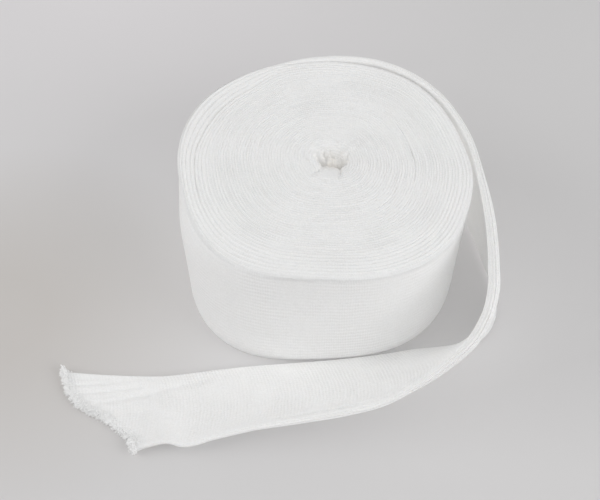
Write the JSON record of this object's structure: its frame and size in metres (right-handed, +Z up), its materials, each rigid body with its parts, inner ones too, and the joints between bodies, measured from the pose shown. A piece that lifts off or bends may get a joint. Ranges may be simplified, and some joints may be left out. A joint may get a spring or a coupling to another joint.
{
  "type": "stockinette roll",
  "caption": "Roll of white tubular cotton stockinette standing on its end, its flattened loose end running round one side, turning over and lying in front to a raw cut end.",
  "frame": {"origin": "middle of the roll's flat foot, on the surface it stands on", "axes": "+Z up, along the axis the tube is wound round; the picture is taken looking along +Y, with +X to the right, and the loose end runs out towards -X in front of the roll"},
  "size_m": [0.3151, 0.2949, 0.1],
  "materials": {
    "stockinette": "matte fine cotton knit"
  },
  "bodies": {
    "root": {"roll": "stockinette", "tail": "stockinette"}
  },
  "joints": []
}
